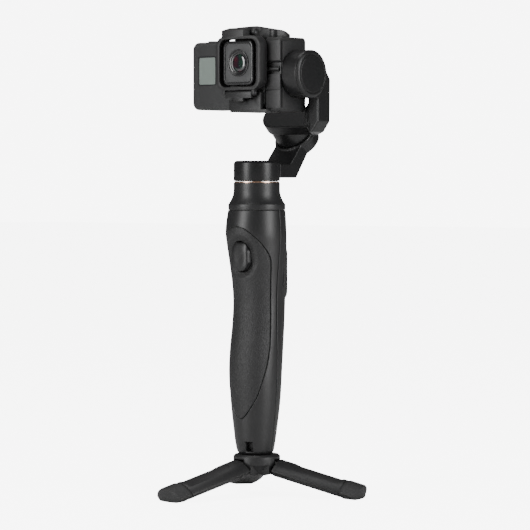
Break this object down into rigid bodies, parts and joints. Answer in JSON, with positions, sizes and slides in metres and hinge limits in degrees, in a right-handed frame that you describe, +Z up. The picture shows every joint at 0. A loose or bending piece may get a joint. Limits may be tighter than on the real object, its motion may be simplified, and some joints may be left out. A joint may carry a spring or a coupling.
{
  "type": "gimbal stabilizer",
  "caption": "Handheld three-axis motorised stabilizer on a folding mini tripod, with a latched cradle holding a small action camera.",
  "frame": {"origin": "on the handle's axis in the plane of the tripod head's underside", "axes": "+Z up along the handle, -Y the way the lens, the trigger and the grip's front look, +X towards the tilt motor"},
  "size_m": [0.136, 0.1329, 0.3089],
  "materials": {
    "matte_black": "fine-grained matte",
    "charcoal_plastic": "satin",
    "soft_rubber": "matte with fine texture",
    "anodised_black": "satin black anodised",
    "steel": "machined",
    "magnet_steel": "plated",
    "windings": "enamelled copper",
    "brass": "turned",
    "copper_accent": "copper-coloured anodised",
    "cell_wrap": "shrink wrap",
    "board_green": "solder mask",
    "switch_plastic": "moulded",
    "red_button": "matte",
    "light_pipe": "clear tinted",
    "camera_grey": "fine-grained soft touch",
    "lens_black": "gloss",
    "lens_glass": "coated",
    "display_grey": "display window"
  },
  "bodies": {
    "handle": {"handle_front_shell": "matte_black", "handle_rear_shell": "charcoal_plastic", "grip_inlay": "soft_rubber", "base_insert": "brass", "neck_collar": "matte_black", "accent_ring": "copper_accent", "battery_cell": "cell_wrap", "battery_tray": "charcoal_plastic", "main_board": "board_green", "shell_screws": "steel", "control_panel": "charcoal_plastic", "status_light": "light_pipe", "usb_port": "steel", "trigger_pin": "steel", "trigger_switch": "switch_plastic", "pan_stator": "windings", "pan_bearings": "steel"},
    "tripod": {"tripod_head": "matte_black", "tripod_stud": "steel", "leg_pins": "steel"},
    "leg_a": {"leg_a": "matte_black", "foot_a": "soft_rubber"},
    "leg_b": {"leg_b": "matte_black", "foot_b": "soft_rubber"},
    "leg_c": {"leg_c": "matte_black", "foot_c": "soft_rubber"},
    "trigger": {"trigger": "matte_black"},
    "joystick_yoke": {"joystick_yoke": "steel"},
    "joystick_cap": {"joystick_cap": "soft_rubber"},
    "mode_button": {"mode_button": "soft_rubber"},
    "record_button": {"record_button": "red_button"},
    "usb_cover": {"usb_cover": "soft_rubber"},
    "pan": {"pan_bell": "anodised_black", "pan_magnets": "magnet_steel", "pan_shaft": "steel", "pan_arm": "anodised_black", "roll_stator": "windings", "roll_bearings": "steel"},
    "roll": {"roll_bell": "anodised_black", "roll_magnets": "magnet_steel", "roll_shaft": "steel", "roll_arm": "anodised_black", "tilt_stator": "windings", "tilt_bearings": "steel", "tilt_cap": "anodised_black"},
    "cradle": {"cradle": "anodised_black", "cradle_pad": "soft_rubber", "clamp_bridge": "matte_black", "clamp_pin": "steel", "tilt_bell": "anodised_black", "tilt_magnets": "magnet_steel", "tilt_shaft": "steel", "camera_body": "camera_grey", "camera_lens": "lens_black", "camera_glass": "lens_glass", "camera_screen": "display_grey"},
    "clamp_ring": {"clamp_ring": "matte_black", "latch_pin": "steel"},
    "latch": {"latch": "matte_black"},
    "camera_button": {"camera_button": "camera_grey"}
  },
  "joints": [
    {"name": "tripod_swivel", "type": "hinge", "parent": "handle", "child": "tripod", "pos_m": [0, 0, 0], "axis": [0, 0, 1], "range_deg": [-45, 45]},
    {"name": "leg_a_fold", "type": "hinge", "parent": "tripod", "child": "leg_a", "pos_m": [-0.00187, -0.0088, 0.0051], "axis": [0.9781, -0.2079, 0], "range_deg": [0, 75.5]},
    {"name": "leg_b_fold", "type": "hinge", "parent": "tripod", "child": "leg_b", "pos_m": [0.00856, 0.00278, 0.0051], "axis": [-0.309, 0.9511, 0], "range_deg": [0, 75.5]},
    {"name": "leg_c_fold", "type": "hinge", "parent": "tripod", "child": "leg_c", "pos_m": [-0.00669, 0.00602, 0.0051], "axis": [-0.6691, -0.7431, 0], "range_deg": [0, 75.5]},
    {"name": "trigger_pull", "type": "hinge", "parent": "handle", "child": "trigger", "pos_m": [0, -0.01139, 0.14975], "axis": [1, 0, 0], "range_deg": [0, 7], "stiffness_Nm_per_rad": 0.06},
    {"name": "joystick_x", "type": "hinge", "parent": "handle", "child": "joystick_yoke", "pos_m": [0, 0.01636, 0.1417], "axis": [1, 0, 0], "range_deg": [-10, 10], "stiffness_Nm_per_rad": 0.01},
    {"name": "joystick_z", "type": "hinge", "parent": "joystick_yoke", "child": "joystick_cap", "pos_m": [0, 0.01636, 0.1417], "axis": [0, 0, 1], "range_deg": [-10, 10], "stiffness_Nm_per_rad": 0.01},
    {"name": "mode_press", "type": "slide", "parent": "handle", "child": "mode_button", "axis": [0, -1, 0], "range_m": [0, 0.0006], "stiffness_N_per_m": 400},
    {"name": "record_press", "type": "slide", "parent": "handle", "child": "record_button", "axis": [0, -1, 0], "range_m": [0, 0.0006], "stiffness_N_per_m": 400},
    {"name": "usb_cover_open", "type": "hinge", "parent": "handle", "child": "usb_cover", "pos_m": [0.01283, 0.01301, 0.1312], "axis": [0, 0, 1], "range_deg": [0, 75], "stiffness_Nm_per_rad": 0.0005},
    {"name": "pan_turn", "type": "hinge", "parent": "handle", "child": "pan", "pos_m": [0, 0, 0.1915], "axis": [0, 0, 1], "continuous": true},
    {"name": "roll_turn", "type": "hinge", "parent": "pan", "child": "roll", "pos_m": [0, 0.035, 0.2287], "axis": [0, -0.7071, 0.7071], "range_deg": [-40, 40]},
    {"name": "tilt_turn", "type": "hinge", "parent": "roll", "child": "cradle", "pos_m": [0, -0.007, 0.2624], "axis": [1, 0, 0], "range_deg": [-60, 60]},
    {"name": "clamp_open", "type": "hinge", "parent": "cradle", "child": "clamp_ring", "pos_m": [0, -0.022, 0.2899], "axis": [-1, 0, 0], "range_deg": [0, 80]},
    {"name": "latch_flip", "type": "hinge", "parent": "clamp_ring", "child": "latch", "pos_m": [0, -0.0294, 0.2502], "axis": [-1, 0, 0], "range_deg": [0, 60]},
    {"name": "shutter_press", "type": "slide", "parent": "cradle", "child": "camera_button", "axis": [0, 0, -1], "range_m": [0, 0.0005], "stiffness_N_per_m": 400}
  ]
}
